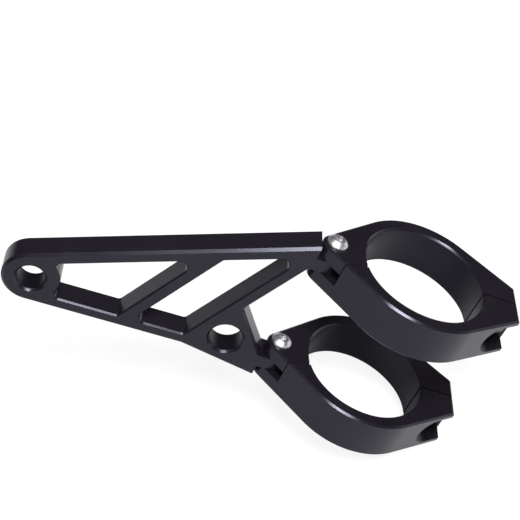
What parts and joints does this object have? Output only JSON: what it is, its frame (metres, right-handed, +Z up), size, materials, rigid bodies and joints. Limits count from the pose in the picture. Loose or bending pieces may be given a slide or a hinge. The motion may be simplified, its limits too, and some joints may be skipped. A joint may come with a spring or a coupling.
{
  "type": "headlight mounting bracket",
  "caption": "Black milled headlight bracket for a motorcycle fork: windowed arm with a headlight hole and an indicator hole, on swivelling split clamps that close round the fork tube.",
  "frame": {"origin": "on the fork axis at mid height of the upper clamp", "axes": "+X back along the arm's top edge from the headlight hole to the fork, +Z up as fitted on the motorcycle, Y across the arm's thickness; the fork axis lies in the X-Z plane and leans back by 25 degrees"},
  "size_m": [0.1832, 0.0568, 0.0931],
  "materials": {
    "anodised_arm": "satin black anodised",
    "anodised_clamp": "satin black anodised",
    "bright_screw": "bright stainless",
    "dark_screw": "black oxide"
  },
  "bodies": {
    "upper_clamp": {"upper_clamp_rear_half": "anodised_clamp", "upper_clamp_front_half": "anodised_clamp", "upper_hinge_screw": "bright_screw", "upper_pinch_screw": "dark_screw"},
    "arm": {"arm": "anodised_arm"},
    "lower_clamp": {"lower_clamp_rear_half": "anodised_clamp", "lower_clamp_front_half": "anodised_clamp", "lower_hinge_screw": "bright_screw", "lower_pinch_screw": "dark_screw"}
  },
  "joints": [
    {"name": "upper_swivel", "type": "hinge", "parent": "upper_clamp", "child": "arm", "pos_m": [-0.03122, 0, 0.01456], "axis": [0.4226, 0, 0.9063], "range_deg": [-45, 45]},
    {"name": "lower_swivel", "type": "hinge", "parent": "arm", "child": "lower_clamp", "pos_m": [-0.05252, 0, -0.03112], "axis": [0.4226, 0, 0.9063], "range_deg": [-45, 45]}
  ]
}
